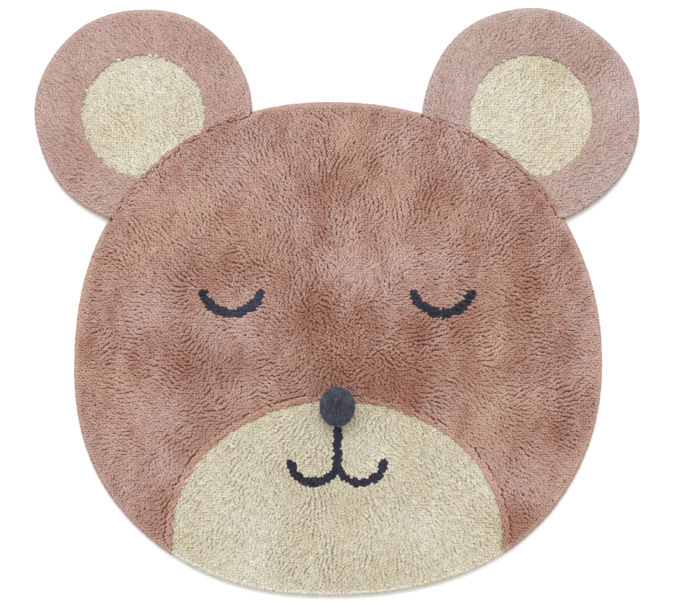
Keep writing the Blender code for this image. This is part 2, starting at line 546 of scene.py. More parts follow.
def row_waves(low, high):
    """The wandering rows as a complex wave on a grid: its size and its phase."""
    shape = np.ceil((high - low) / GRID_STEP).astype(int) + 1
    wave = np.zeros(shape, complex)
    spots = np.random.default_rng(seed=7)
    count = int(ROW_SPOTS * np.prod(high - low))
    middles = spots.uniform(low, high, (count, 2))
    drawing = look_up(middles)
    kept = drawing["edge"] > -ROW_REACH
    middles = middles[kept]
    headings = comb(middles, {key: value[kept] for key, value in drawing.items()})
    orderly = ROW_ORDER * sum(near(middles, *place) for place in ORDERLY_PLACES)
    straying = ROW_STRAY - ROW_STRAY_DRIFT * drift(middles, "row_heading") - orderly
    straying = np.maximum(straying + ROW_TOUSLED_STRAY * tousled(middles), 0)
    across = turned(headings, math.pi / 2 + spots.normal(0, 1, len(middles)) * straying)
    starts = spots.uniform(0, 2 * math.pi, len(middles))
    pitches = ROW_PITCH * spots.uniform(*ROW_UNEVEN, len(middles))
    half = int(ROW_FADE * ROW_LENGTH / GRID_STEP)
    offsets = np.arange(-half, half + 1) * GRID_STEP
    for middle, side, start, pitch in zip(middles, across, starts, pitches):
        cell = np.round((middle - low) / GRID_STEP).astype(int)
        first = np.maximum(cell - half, 0)
        last = np.minimum(cell + half + 1, shape)
        x, y = (offsets[slice(*span)] for span in zip(first - cell + half, last - cell + half))
        x, y = x[:, None], y[None, :]
        aside = x * side[0] + y * side[1]
        ahead = x * side[1] - y * side[0]
        weight = np.exp(-((aside / ROW_REACH) ** 2) - (ahead / ROW_LENGTH) ** 2)
        phase = 2 * math.pi * aside / pitch + start
        wave[first[0] : last[0], first[1] : last[1]] += weight * np.exp(1j * phase)
    return wave


def read_grid(grid, low, points):
    cell = np.round((points - low) / GRID_STEP).astype(int)
    cell = np.clip(cell, 0, np.array(grid.shape) - 1)
    return grid[cell[:, 0], cell[:, 1]]


def tuft_shape(sides, fullness):
    """One tuft: how far along it each corner lies, how far out, and at what angle."""
    bm = bmesh.new()
    bmesh.ops.create_uvsphere(bm, u_segments=sides, v_segments=TUFT_RINGS, radius=1.0)
    bm.verts.index_update()
    along = np.array([((1 + vert.co.z) / 2) ** fullness for vert in bm.verts])
    out = np.array([math.hypot(vert.co.x, vert.co.y) for vert in bm.verts])
    out *= 1 - TUFT_TAPER * along
    angle = np.array([math.atan2(vert.co.y, vert.co.x) for vert in bm.verts])
    faces = [[vert.index for vert in face.verts] for face in bm.faces]
    bm.free()
    return along, out, angle, faces


def tuft_map(shape, count):
    """Lays each tuft's skin flat in a cell of its own on one square map."""
    along, _, angle, faces = shape
    flat = []
    for face in faces:
        ring = [corner for corner in face if 0 < along[corner] < 1]
        turns = {corner: angle[corner] / (2 * math.pi) % 1 for corner in ring}
        if max(turns.values()) - min(turns.values()) > 0.5:
            turns = {corner: turn or 1.0 for corner, turn in turns.items()}
        middle = sum(turns.values()) / len(turns)
        flat.extend((turns.get(corner, middle), along[corner]) for corner in face)
    cells = math.ceil(math.sqrt(count))
    order = np.arange(count)
    corner = np.stack([order % cells, order // cells], 1)[:, None, :]
    inside = MAP_MARGIN + (1 - 2 * MAP_MARGIN) * np.array(flat)[None]
    return ((corner + inside) / cells).astype(np.float32).ravel()


def joined_tufts(name, shape, tufts, material):
    """One mesh of many tufts, each bent from its root to its tip."""
    along, out, angle, faces = shape
    count, corners = len(tufts["root"]), len(along)
    t = along[None, :, None]
    root, bend, tip = (tufts[key][:, None, :] for key in ("root", "bend", "tip"))
    spine = (1 - t) ** 2 * root + 2 * t * (1 - t) * bend + t**2 * tip
    slope = 2 * (1 - t) * (bend - root) + 2 * t * (tip - bend)
    slope /= np.linalg.norm(slope, axis=2, keepdims=True)
    lean = unit((tufts["tip"] - tufts["root"])[:, :2] + 1e-7)
    side = np.stack([-lean[:, 1], lean[:, 0], np.zeros(count)], 1)[:, None, :]
    up = np.cross(slope, np.broadcast_to(side, slope.shape))
    spin = angle[None, :] + tufts["spin"][:, None]
    half = (tufts["width"] / 2)[:, None] * out[None, :]
    places = (
        spine
        + side * (half * np.cos(spin))[..., None]
        + up * (half * np.sin(spin) * tufts["flat"][:, None])[..., None]
    )
    places[..., 2] = np.maximum(places[..., 2], FLOOR_CLEARANCE)
    loops = np.array([corner for face in faces for corner in face])
    totals = np.array([len(face) for face in faces])
    mesh = bpy.data.meshes.new(name)
    mesh.vertices.add(count * corners)
    mesh.vertices.foreach_set("co", places.astype(np.float32).ravel())
    mesh.loops.add(count * len(loops))
    all_loops = loops[None, :] + (np.arange(count) * corners)[:, None]
    mesh.loops.foreach_set("vertex_index", all_loops.astype(np.int32).ravel())
    mesh.polygons.add(count * len(faces))
    starts = np.arange(count)[:, None] * len(loops) + (np.cumsum(totals) - totals)[None, :]
    mesh.polygons.foreach_set("loop_start", starts.astype(np.int32).ravel())
    mesh.update(calc_edges=True)
    mesh.shade_smooth()
    for key, values in (
        ("along", np.tile(along, count)),
        ("tone", np.repeat(tufts["tone"], corners)),
        # Painted light and shade: a tuft's upper side gets a higher nap value, painted paler,
        # and its underside a lower one, painted darker.
        ("nap", (tufts["nap"][:, None] + TUFT_TOP_LIGHT * out * np.sin(spin)).ravel()),
    ):
        layer = mesh.attributes.new(key, "FLOAT", "POINT")
        layer.data.foreach_set("value", values.astype(np.float32))
    around = np.stack([np.cos(angle), np.sin(angle), FIBRE_LENGTH * along], 1)
    fibre = around[None] + tufts["tone"][:, None, None] * np.array(FIBRE_SHIFT)
    layer = mesh.attributes.new("fibre", "FLOAT_VECTOR", "POINT")
    layer.data.foreach_set("vector", fibre.astype(np.float32).ravel())
    mesh.uv_layers.new(name="OFBake").uv.foreach_set("vector", tuft_map(shape, count))
    mesh.materials.append(material)
    return new_object(name, mesh)


cad_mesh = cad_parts["rug"].data
cad_mesh.calc_loop_triangles()
cut_surface = BVHTree.FromPolygons(
    [vert.co for vert in cad_mesh.vertices],
    [tuple(triangle.vertices) for triangle in cad_mesh.loop_triangles],
)


def cut_height(points):
    """The height that the pile is cut to at each point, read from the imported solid."""
    heights = np.zeros(len(points))
    for index, (x, y) in enumerate(points):
        hit = cut_surface.ray_cast(Vector((x, y, 1.0)), Vector((0, 0, -1)))
        heights[index] = hit[0].z if hit[0] else 0.0
    return heights


def spread_out(points, lean, across, along, rounds):
    """Moves points apart until they are this far from each other, across and along."""
    size = max(across, along)
    for _ in range(rounds):
        low = points.min(0) - 2 * size
        cell = ((points - low) / size).astype(int)
        wide = cell.max(0) + 2
        key = cell[:, 0] * wide[1] + cell[:, 1]
        order = np.argsort(key, kind="stable")
        ordered = key[order]
        place = np.arange(len(points)) - np.searchsorted(ordered, ordered)
        table = np.full((wide[0] * wide[1], MOST_NEIGHBOURS), -1)
        fits = place < MOST_NEIGHBOURS
        table[ordered[fits], place[fits]] = order[fits]
        push = np.zeros_like(points)
        for x in (-1, 0, 1):
            for y in (-1, 0, 1):
                others = table[key + x * wide[1] + y]
                gap = points[:, None, :] - points[others]
                ahead = (gap * lean[:, None, :]).sum(2)
                aside = gap[..., 0] * -lean[:, None, 1] + gap[..., 1] * lean[:, None, 0]
                apart = np.hypot(ahead / along, aside / across)
                real = (others >= 0) & (apart > 1e-6) & (apart < 1)
                share = np.where(real, (1 - apart) / np.maximum(apart, CLOSEST), 0)
                push += (gap * share[..., None]).sum(1)
        points = points + SPREAD_STEP * push
    return points


def seam_rows(points):
    """How wide the paler rows are that follow the nearest seam: painted light for the head
    pile's flank seen side-on.
    """
    by_ear = points[:, 1] > EAR_MIDDLE[1] - EAR_RADIUS
    return np.where(by_ear, SEAM_ROWS["ear"], SEAM_ROWS["muzzle"])


def part_beside_seam(points, drawing):
    """The broken parting in the head's pile, where the seam rows end."""
    past = drawing["seam"] - seam_rows(points)
    open_here = smooth_step(drift(points, "parting"), *PARTING_OPEN)
    push = PARTING_PUSH * open_here * np.exp(-np.abs(past) / PARTING_REACH) * -np.sign(past)
    push = np.where(drawing["field"] == "head", push, 0)
    return drawing["way_to_seam"] * push[:, None]


def standing(points):
    """How upright the pile stands, 0 to 1: it is least trodden above the nose."""
    spots = sum(share * near(points, *place) for share, *place in STANDING_PLACES)
    patches = 0.5 + 0.5 * drift(points, "standing")
    return np.clip(spots + STANDING_DRIFT * patches, 0, 1)


def staggered_places(low, high):
    """Places one pitch apart, every other row half a pitch along, and all a little uneven."""
    columns = int((high - low)[0] / TUFT_PITCH)
    rows = int((high - low)[1] / (TUFT_PITCH * math.sqrt(3) / 2))
    column, row = np.meshgrid(np.arange(columns + 2), np.arange(rows + 2), indexing="ij")
    across = (column + 0.5 * (row % 2)) * TUFT_PITCH
    along = row * TUFT_PITCH * math.sqrt(3) / 2
    points = np.stack([across, along], 2).reshape(-1, 2) + low
    return points + chance.uniform(-TUFT_JITTER, TUFT_JITTER, points.shape) * TUFT_PITCH


def field_tufts():
    """The tufts over the whole face, drawn together into rows."""
    low, high = (np.array(corner[:2]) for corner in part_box("rug"))
    wave_grid = row_waves(low, high)
    points = staggered_places(low, high)
    drawing = look_up(points)
    kept = drawing["edge"] > FIELD_SETBACK
    points = points[kept]
    drawing = {key: value[kept] for key, value in drawing.items()}
    lean = comb(points, drawing)
    points = spread_out(points, lean, TUFT_ACROSS, TUFT_ALONG, SPREAD_ROUNDS)
    pull, wide, flat, uneven, mottle = (
        sum((drawing["field"] == field) * habit[key] for field, habit in PILE_FIELDS.items())
        for key in PILE_HABITS[1:]
    )

    wave = read_grid(wave_grid, low, points)
    strength = np.clip(np.abs(wave) / np.median(np.abs(wave)), 0, 1)
    uneven_pull = drift(points, "row_pull") + 0.5 * drift(points, "fine_row_pull")
    upright = standing(points)
    pull *= PULL_UNEVEN[0] + PULL_UNEVEN[1] * smooth_step(uneven_pull, -0.8, 0.8)
    pull *= smooth_step(drawing["edge"], *EDGE_ROWLESS)
    pull *= PULL_BY_SEAM[0] + PULL_BY_SEAM[1] * smooth_step(drawing["seam"], *SEAM_ROWLESS)
    pull *= PULL_STANDING[0] + PULL_STANDING[1] * upright
    phase = np.angle(wave)
    shift = -phase / (2 * math.pi) * ROW_PITCH * ROW_PULL * strength * pull
    crest = np.cos(phase) * strength * pull
    points = points + turned(lean, math.pi / 2) * shift[:, None]
    points = points + part_beside_seam(points, drawing)

    count = len(points)
    turning = TUFT_TURN + TOUSLED_TURN * tousled(points)
    lean = turned(lean, chance.normal(0, 1, count) * turning)
    blotch = BLOTCH_SHADE * drift(points, "blotch")
    blotch += FINE_BLOTCH_SHADE * drift(points * FINE_BLOTCH_STRETCH, "fine_blotch")
    size = chance.uniform(0.85, 1.15, count)
    reach = TUFT_REACH * size * (LYING_REACH - STANDING_SHORTER * upright)
    tip_edge = look_up(points + lean * (TIP_AHEAD * reach)[:, None])["edge"]
    points = points - drawing["way_out"] * np.maximum(RIM_ROOM - tip_edge, 0)[:, None]
    middles = points + lean * (TIP_AHEAD * reach)[:, None]
    short_of = np.maximum(SEAM_SLOPE - drawing["seam"], 0)[:, None]
    top = (1 - SEAM_FILL) * cut_height(middles)
    top += SEAM_FILL * cut_height(middles - drawing["way_to_seam"] * short_of)
    clumps = drift(points, "clump")
    top += CREST_HEIGHT * crest + CLUMP_HEIGHT * clumps - TIP_DROP
    top += uneven * chance.uniform(-1, 1, count)
    # Painted light and shade: random patches paler and darker, standing in for light on the
    # pile's changing lean; open, standing pile darker than pile lying flat; row crests and
    # raised clumps paler than the hollows.
    nap = mottle * (blotch + STANDING_SHADE * (STANDING_MEAN - upright))
    nap = nap + CREST_SHADE * crest + CLUMP_SHADE * clumps
    # Painted light: near the rim the nap is painted paler, for fibres seen side-on.
    nap += RIM_SHADE * (1 - smooth_step(drawing["edge"], *EDGE_LIT))
    root = np.column_stack([points - lean * (ROOT_BEHIND * reach)[:, None], top - TUFT_RISE])
    tip = np.column_stack([points + lean * (TIP_AHEAD * reach)[:, None], top - TIP_TUCK])
    bend = np.column_stack([points - lean * (BEND_BEHIND * reach)[:, None], top + TUFT_ARCH])
    return {
        "root": root,
        "bend": bend,
        "tip": tip,
        "width": TUFT_ACROSS * wide * chance.uniform(0.88, 1.12, count),
        "flat": flat,
        "spin": chance.uniform(0, 2 * math.pi, count),
        "tone": chance.uniform(0, 1, count),
        "nap": nap,
        "at": points,
    }


# ---------------------------------------------------------------------------
# Rim. The outermost tufts are the same cotton yarn, tufted up to the canvas edge.
# They splay out and round over the turned-in edge, and hide it.

EDGE_STEP = 0.0030
EDGE_STAGGER = 0.2
EDGE_ROWS = 5
EDGE_AHEAD = 0.004
EDGE_CLEAR = 0.003
EDGE_TUFT_WIDTH = 0.0064
EDGE_TUFT_FLATNESS = 0.62
EDGE_TUFT_TURN = 0.10
EDGE_TUFT_STRAY = 0.0003
EDGE_BEND_AT = 0.60
EDGE_BEND_DROP = 0.10
EDGE_BLOTCH_SHADE = 0.5
EDGE_SHADE = 1.6
EDGE_COLOUR_FROM = 0.0075
EDGE_ROUND = {
    "share": (0.0, 0.22, 0.45, 0.65, 0.82, 1.0),
    "tip_in": (0.0022, 0.0008, 0.0, 0.0006, 0.0024, 0.0058),
    "tip_z": (0.0017, 0.0044, 0.0074, 0.0101, 0.0125, 0.0140),
    "root_in": (0.0100, 0.0100, 0.0100, 0.0110, 0.0130, 0.0165),
    "root_z": (0.0013, 0.0022, 0.0036, 0.0048, 0.0062, 0.0074),
}


def edge_tufts():
    """Rows of tufts up the rounding of the rim, from the floor to the face."""
    rims = []
    for name in ("head", "left_ear", "right_ear"):
        line = LINES[name]
        steps = np.linalg.norm(np.roll(line, -1, axis=0) - line, axis=1)
        run = np.concatenate([[0], np.cumsum(steps)])
        closed = np.vstack([line, line[:1]])
        places = np.arange(0, run[-1], EDGE_STEP)
        x, y = (np.interp(places, run, closed[:, axis]) for axis in (0, 1))
        ahead = (places + EDGE_AHEAD) % run[-1]
        ahead_x, ahead_y = (np.interp(ahead, run, closed[:, axis]) for axis in (0, 1))
        way = unit(np.stack([ahead_y - y, x - ahead_x], 1))
        rim = np.stack([x, y], 1)
        free = look_up(rim + way * EDGE_CLEAR)["field"] == "none"
        rims.append((rim[free], way[free]))
    rim = np.vstack([place for place, _ in rims])
    way = np.vstack([out for _, out in rims])
    parts = []
    for order in range(EDGE_ROWS):
        count = len(rim)
        stagger = 0.5 * (order % 2) + chance.normal(0, EDGE_STAGGER, (count, 1))
        place = rim + turned(way, math.pi / 2) * (stagger * EDGE_STEP)
        share = (order + chance.uniform(0.1, 0.9, count)) / EDGE_ROWS
        tip_in, tip_z, root_in, root_z = (
            np.interp(share, EDGE_ROUND["share"], EDGE_ROUND[key])
            for key in ("tip_in", "tip_z", "root_in", "root_z")
        )
        head_for = turned(way, chance.normal(0, EDGE_TUFT_TURN, count))
        reach = (root_in - tip_in)[:, None]
        root = place - way * root_in[:, None]
        tip = root + head_for * reach + chance.normal(0, EDGE_TUFT_STRAY, (count, 2))
        root = np.column_stack([root, root_z])
        tip = np.column_stack([tip, tip_z])
        bend = (1 - EDGE_BEND_AT) * root + EDGE_BEND_AT * tip
        bend[:, 2] = tip[:, 2] - EDGE_BEND_DROP * (tip[:, 2] - root[:, 2])
        parts.append(
            {
                "root": root,
                "bend": bend,
                "tip": tip,
                "width": EDGE_TUFT_WIDTH * chance.uniform(0.85, 1.10, count),
                "flat": np.full(count, EDGE_TUFT_FLATNESS),
                "spin": chance.uniform(0, 2 * math.pi, count),
                "tone": chance.uniform(0, 1, count),
                # Painted light and shade: the rim tufts are painted paler, for fibres seen
                # side-on, in random paler and darker patches.
                "nap": EDGE_BLOTCH_SHADE * drift(place, "blotch") + EDGE_SHADE,
                "at": place - way * EDGE_COLOUR_FROM,
            }
        )
    return {key: np.concatenate([part[key] for part in parts]) for key in parts[0]}


# ---------------------------------------------------------------------------
# Colours. Each field is tufted in a cotton yarn of its own dye. Paler rows beside
# the seams are painted light: the head pile's flank, seen side-on where two colours
# meet. Closed eyes and a small mouth are the same pile in charcoal.

EYE_MIDDLE = (0.190, 0.035)
EYE_RADIUS = 0.056
EYE_HALF_ARC = math.radians(68)
EYE_LINE = 0.0165
MOUTH_TOP = -0.225
MOUTH_SPLIT = -0.285
MOUTH_RADIUS = 0.042
MOUTH_HALF_ARC = math.radians(78)
MOUTH_LINE = 0.0144
DARK_YARN_FULLNESS = 1.25
HEAD_THIRDS = (-0.16, 0.16)

FIBRE_SCALE = 4.4
FIBRE_LIGHTNESS = (0.32, 0.68, 0.79, 1.18)
FIBRE_RELIEF = 0.0005
FIBRE_RELIEF_SHARE = 0.9
TUFT_LIGHTNESS = (0.0, 1.0, 0.95, 1.05)
FADED_PATCHES = (0.36, 0.66, 0.0, 1.0)
FADED_PATCH_SCALE = 5.0
# How the nap value paints the yarn paler, as painted light, and where along each tuft the
# painted shade at the root gives way to the tip.
NAP_TO_LIT = (-2.4, 2.6, 0.0, 1.0)
ROOT_TO_TIP = (0.30, 0.95, 0.0, 1.0)
NAP_LIFT = 0.07
YARN_ROUGHNESS = 0.95


def from_arc(points, middle, radius, half_arc):
    """Distance from the lower arc of a circle, its ends rounded."""
    away = points - middle
    heading = np.arctan2(away[:, 0], -away[:, 1])
    held = np.clip(heading, -half_arc, half_arc)
    nearest = np.stack([np.sin(held), -np.cos(held)], 1) * radius
    return np.linalg.norm(away - nearest, axis=1)


def yarn_at(points, tone):
    """The yarn that each tuft is made of."""
    drawing = look_up(points)
    ear_yarn = np.where(points[:, 0] < 0, "dusty", "mauve")
    yarn = np.where(drawing["field"] == "ear", ear_yarn, "rose").astype(object)
    yarn[np.isin(drawing["field"], ["muzzle", "inner_ear"])] = "cream"
    rows = seam_rows(points)
    on_seam = (drawing["field"] == "head") & (drawing["seam"] < rows)
    # Painted light: the head's tufts beside a seam take the paler blush colour, for the pile's
    # flank seen side-on.
    yarn[on_seam & ((rows > SEAM_ROWS["ear"]) | (tone < SPARSE_BY_EAR))] = "blush"
    beside_middle = np.abs(points[:, 0])
    mirrored = np.stack([beside_middle, points[:, 1]], 1)
    eyes = from_arc(mirrored, EYE_MIDDLE, EYE_RADIUS, EYE_HALF_ARC) < EYE_LINE / 2
    lips = from_arc(mirrored, (MOUTH_RADIUS, MOUTH_SPLIT), MOUTH_RADIUS, MOUTH_HALF_ARC)
    philtrum = (beside_middle < MOUTH_LINE / 2) & (points[:, 1] < MOUTH_TOP)
    philtrum &= points[:, 1] > MOUTH_SPLIT - MOUTH_LINE / 2
    yarn[eyes | (lips < MOUTH_LINE / 2) | philtrum] = "charcoal"
    return yarn


def yarn_group():
    """Dyed cotton yarn with fibres along it, in random faded patches: painted shade darkens it
    towards the root, and a high nap value paints it paler, as painted light.
    """
    group = bpy.data.node_groups.new("dyed_yarn", "ShaderNodeTree")
    sockets = (
        ("INPUT", "Color", ("Colour", "Root shade colour", "Lit colour", "Faded colour")),
        ("INPUT", "Vector", ("Place", "Fibre")),
        ("INPUT", "Float", ("Along", "Tone", "Nap", "Fibre scale")),
        ("OUTPUT", "Color", ("Colour",)),
        ("OUTPUT", "Float", ("Fibres",)),
    )
    for direction, kind, names in sockets:
        for name in names:
            group.interface.new_socket(
                name=name, in_out=direction, socket_type="NodeSocket" + kind
            )
    nodes, links = group.nodes, group.links
    given = nodes.new("NodeGroupInput")
    result = nodes.new("NodeGroupOutput")

    def ramp(source, limits):
        node = nodes.new("ShaderNodeMapRange")
        node.interpolation_type = "SMOOTHSTEP"
        for name, value in zip(("From Min", "From Max", "To Min", "To Max"), limits):
            node.inputs[name].default_value = value
        links.new(source, node.inputs["Value"])
        return node.outputs["Result"]

    def mixed(first, second, factor):
        node = nodes.new("ShaderNodeMix")
        node.data_type = "RGBA"
        links.new(first, node.inputs["A"])
        links.new(second, node.inputs["B"])
        links.new(factor, node.inputs["Factor"])
        return node.outputs["Result"]

    def scaled(colour, scale):
        node = nodes.new("ShaderNodeVectorMath")
        node.operation = "SCALE"
        links.new(colour, node.inputs[0])
        links.new(scale, node.inputs["Scale"])
        return node.outputs["Vector"]

    fibres = nodes.new("ShaderNodeTexNoise")
    fibres.inputs["Detail"].default_value = 3.0
    fibres.inputs["Roughness"].default_value = 0.6
    links.new(given.outputs["Fibre"], fibres.inputs["Vector"])
    links.new(given.outputs["Fibre scale"], fibres.inputs["Scale"])
    dye = nodes.new("ShaderNodeTexNoise")
    dye.inputs["Scale"].default_value = FADED_PATCH_SCALE
    dye.inputs["Detail"].default_value = 1.5
    links.new(given.outputs["Place"], dye.inputs["Vector"])
    fade = ramp(dye.outputs["Fac"], FADED_PATCHES)
    # Painted light: where the nap value is high, the colour goes over to the paler lit colour,
    # which is faded in random patches.
    lit_share = ramp(given.outputs["Nap"], NAP_TO_LIT)
    lit_and_faded = mixed(given.outputs["Lit colour"], given.outputs["Faded colour"], fade)
    top = mixed(given.outputs["Colour"], lit_and_faded, lit_share)
    # Painted shade: each tuft darkens towards its root, where the pile is deep; a higher nap
    # value moves that shade further down.
    lifted = nodes.new("ShaderNodeMath")
    lifted.operation = "MULTIPLY_ADD"
    lifted.inputs[1].default_value = NAP_LIFT
    links.new(given.outputs["Nap"], lifted.inputs[0])
    links.new(given.outputs["Along"], lifted.inputs[2])
    depth = ramp(lifted.outputs["Value"], ROOT_TO_TIP)
    body = mixed(given.outputs["Root shade colour"], top, depth)
    uneven = scaled(body, ramp(given.outputs["Tone"], TUFT_LIGHTNESS))
    fuzzy = scaled(uneven, ramp(fibres.outputs["Fac"], FIBRE_LIGHTNESS))
    links.new(fuzzy, result.inputs["Colour"])
    links.new(fibres.outputs["Fac"], result.inputs["Fibres"])
    return group


DYED_YARN = yarn_group()


def yarn_material(
    name, root_shade_colour, colour, lit_colour, faded_colour, sheen, fibre_scale=FIBRE_SCALE
):
    """Soft spun yarn in one dye, from the group above."""
    material, shader, add, link = new_material(name, YARN_ROUGHNESS, sheen, lit_colour)
    yarn = add("ShaderNodeGroup")
    yarn.node_tree = DYED_YARN
    for socket, value in (
        ("Colour", colour),
        ("Root shade colour", root_shade_colour),
        ("Lit colour", lit_colour),
        ("Faded colour", faded_colour),
        ("Fibre scale", fibre_scale),
    ):
        yarn.inputs[socket].default_value = value
    place = add("ShaderNodeTexCoord")
    link(place.outputs["Object"], yarn.inputs["Place"])
    for key, output, socket in (
        ("fibre", "Vector", "Fibre"),
        ("along", "Fac", "Along"),
        ("tone", "Fac", "Tone"),
        ("nap", "Fac", "Nap"),
    ):
        read = add("ShaderNodeAttribute")
        read.attribute_name = key
        link(read.outputs[output], yarn.inputs[socket])
    relief = add("ShaderNodeBump")
    relief.inputs["Strength"].default_value = FIBRE_RELIEF_SHARE
    relief.inputs["Distance"].default_value = FIBRE_RELIEF
    link(yarn.outputs["Fibres"], relief.inputs["Height"])
    link(yarn.outputs["Colour"], shader.inputs["Base Color"])
    link(relief.outputs["Normal"], shader.inputs["Normal"])
    return material


YARNS = {
    "rose": yarn_material(
        "cotton_rose_brown",
        root_shade_colour=(0.270, 0.101, 0.058, 1.0),
        colour=(0.410, 0.226, 0.182, 1.0),
        lit_colour=(0.516, 0.354, 0.315, 1.0),
        faded_colour=(0.512, 0.337, 0.262, 1.0),
        sheen=0.25,
    ),
    "mauve": yarn_material(
        "cotton_mauve_grey",
        root_shade_colour=(0.374, 0.230, 0.192, 1.0),
        colour=(0.434, 0.290, 0.249, 1.0),
        lit_colour=(0.519, 0.401, 0.380, 1.0),
        faded_colour=(0.499, 0.394, 0.349, 1.0),
        sheen=0.25,
    ),
    "dusty": yarn_material(
        "cotton_dusty_mauve",
        root_shade_colour=(0.378, 0.222, 0.181, 1.0),
        colour=(0.438, 0.275, 0.230, 1.0),
        lit_colour=(0.524, 0.380, 0.350, 1.0),
        faded_colour=(0.505, 0.372, 0.322, 1.0),
        sheen=0.25,
    ),
    "cream": yarn_material(
        "cotton_cream",
        root_shade_colour=(0.486, 0.405, 0.246, 1.0),
        colour=(0.596, 0.534, 0.388, 1.0),
        lit_colour=(0.674, 0.650, 0.572, 1.0),
        faded_colour=(0.662, 0.622, 0.512, 1.0),
        sheen=0.20,
    ),
    # Painted light: a paler colour for the head pile's flank, seen side-on beside the seams.
    "blush": yarn_material(
        "cotton_blush_lit_flank",
        root_shade_colour=(0.370, 0.175, 0.120, 1.0),
        colour=(0.505, 0.292, 0.226, 1.0),
        lit_colour=(0.570, 0.378, 0.312, 1.0),
        faded_colour=(0.570, 0.368, 0.290, 1.0),
        sheen=0.20,
    ),
    "charcoal": yarn_material(
        "cotton_charcoal",
        root_shade_colour=(0.012, 0.012, 0.019, 1.0),
        colour=(0.032, 0.031, 0.050, 1.0),
        lit_colour=(0.056, 0.054, 0.081, 1.0),
        faded_colour=(0.052, 0.052, 0.070, 1.0),
        sheen=0.10,
    ),
}

face_tufts = field_tufts()
rim_tufts = edge_tufts()
all_tufts = {key: np.concatenate([face_tufts[key], rim_tufts[key]]) for key in face_tufts}
yarns = yarn_at(all_tufts["at"], all_tufts["tone"])
all_tufts["width"][yarns == "charcoal"] *= DARK_YARN_FULLNESS
template = tuft_shape(TUFT_SIDES, TUFT_FULLNESS)


def plant(name, chosen, yarn):
    """Makes one piece of pile from the tufts chosen, all of one yarn."""
    tufts = {key: value[chosen] for key, value in all_tufts.items()}
    piece = joined_tufts(name, template, tufts, YARNS[yarn])
    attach(piece, "root")


third = np.searchsorted(HEAD_THIRDS, all_tufts["at"][:, 0])
for index, side in enumerate(("left", "middle", "right")):
    plant("pile_head_" + side, (yarns == "rose") & (third == index), "rose")
below_ears = all_tufts["at"][:, 1] < EAR_MIDDLE[1] - EAR_RADIUS
plant("pile_ear_left", yarns == "dusty", "dusty")
plant("pile_ear_right", yarns == "mauve", "mauve")
plant("pile_inner_ears", (yarns == "cream") & ~below_ears, "cream")
plant("pile_muzzle", (yarns == "cream") & below_ears, "cream")
plant("pile_seam_rows", yarns == "blush", "blush")
plant("pile_eyes_and_mouth", yarns == "charcoal", "charcoal")


# ---------------------------------------------------------------------------
# Nose. A pompom of charcoal wool, wound, cut and clipped to a dense ball, and
# tied on through the canvas where the muzzle meets the brow.

NOSE_LOCKS = 9000
NOSE_LOCK_LENGTH = 0.0080
NOSE_LOCK_WIDTH = 0.0017
NOSE_LOCK_SIDES = 3
NOSE_LOCK_BLUNTNESS = 0.22
NOSE_LOCK_SWAY = 0.0008
NOSE_FIBRE_SCALE = 2.0
NOSE_MIDDLE_AT = 0.46
NOSE_CLUMP_RADIUS = 0.035
NOSE_CLIPPED = 0.964
NOSE_CLUMP_RELIEF = 0.014
NOSE_STRAY_LOCKS = 0.018
NOSE_LONGEST_LOCK = 1.02
NOSE_ROOTS_LIFT = 0.8
NOSE_TIPS_OFF_PILE = 0.0004
NOSE_TIPS_UNEVEN = 0.001
NOSE_ROOTS_OFF_PILE = 0.0012
NOSE_CLUMP_SHADE = 0.6
NOSE_TOP_SHADE = 1.2
NOSE_SHADED_BELOW = 0.55
NOSE_LOCK_SHADE = 1.1
NOSE_HEART_SHARE = 0.86
NOSE_HEART_OFF_PILE = 0.0006
DRIFTS.update(nose_top=(0.009, 12), nose_side=(0.009, 13))


